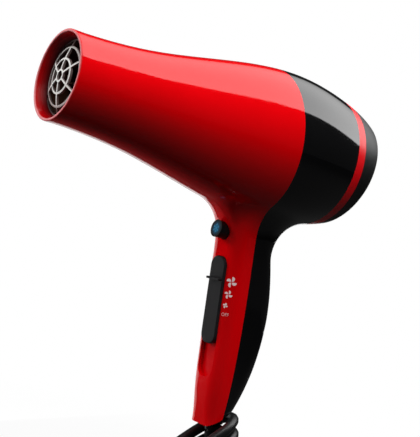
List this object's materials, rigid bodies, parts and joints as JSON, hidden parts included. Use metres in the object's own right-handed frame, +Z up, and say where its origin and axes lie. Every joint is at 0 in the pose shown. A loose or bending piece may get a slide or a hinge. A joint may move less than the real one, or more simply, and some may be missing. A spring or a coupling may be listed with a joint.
{
  "type": "hair dryer",
  "caption": "Hand-held hair dryer: flared red barrel with a black rear and slotted intake, slide switch and cool button on a leaning grip, and a hanked mains cord with a plug.",
  "frame": {"origin": "middle of the grip, where a hand holds it", "axes": "+X along the barrel towards the air intake, so air leaves along -X; +Z up, square to the barrel's axis in its plane of symmetry; +Y to the side away from the camera"},
  "size_m": [0.2056, 0.0888, 0.3386],
  "materials": {
    "red_gloss": "polished",
    "black_gloss": "polished",
    "grey_matt": "fine grain",
    "blue_face": "smooth",
    "white_heatproof": "satin",
    "mica": "matt",
    "resistance_wire": "drawn",
    "steel": "plain",
    "dark_nylon": "moulded",
    "net": "woven",
    "fan_nylon": "moulded",
    "board_green": "coated",
    "cord_rubber": "smooth",
    "wire_jacket": "smooth",
    "pin_brass": "plated"
  },
  "bodies": {
    "housing": {"front_shell": "red_gloss", "rear_shell": "black_gloss", "housing_screws": "steel", "accent_ring": "red_gloss", "outlet_grille": "white_heatproof", "heat_liner": "mica", "heater_board_upright": "mica", "heater_board_level": "mica", "heating_element": "resistance_wire", "thermostat": "white_heatproof", "thermal_fuse": "steel", "fan_shroud": "dark_nylon", "motor_can": "steel", "rectifier_board": "board_green", "diodes": "dark_nylon", "slide_switch": "dark_nylon", "cool_switch": "dark_nylon", "strain_relief": "cord_rubber", "cord_lead": "cord_rubber", "cord_hank": "cord_rubber", "cord_tie": "net", "plug_body": "cord_rubber", "plug_pins": "pin_brass", "cord_clamp": "dark_nylon", "clamp_screws": "steel", "supply_leads": "wire_jacket", "heater_leads": "wire_jacket"},
    "fan_rotor": {"motor_shaft": "steel", "fan": "fan_nylon"},
    "slider": {"power_slider": "grey_matt"},
    "button": {"cool_button": "black_gloss", "cool_button_face": "blue_face"},
    "intake": {"intake_cap": "black_gloss", "lint_screen": "net"}
  },
  "joints": [
    {"name": "fan_spin", "type": "hinge", "parent": "housing", "child": "fan_rotor", "pos_m": [0, 0, 0.105], "axis": [1, 0, 0], "continuous": true},
    {"name": "power_slide", "type": "slide", "parent": "housing", "child": "slider", "axis": [0.1132, 0, -0.9936], "range_m": [0, 0.0193]},
    {"name": "cool_press", "type": "slide", "parent": "housing", "child": "button", "axis": [0.9986, 0, -0.0523], "range_m": [0, 0.002], "stiffness_N_per_m": 500, "springref_m": -0.001},
    {"name": "intake_pull", "type": "slide", "parent": "housing", "child": "intake", "axis": [1, 0, 0], "range_m": [0, 0.012]}
  ]
}
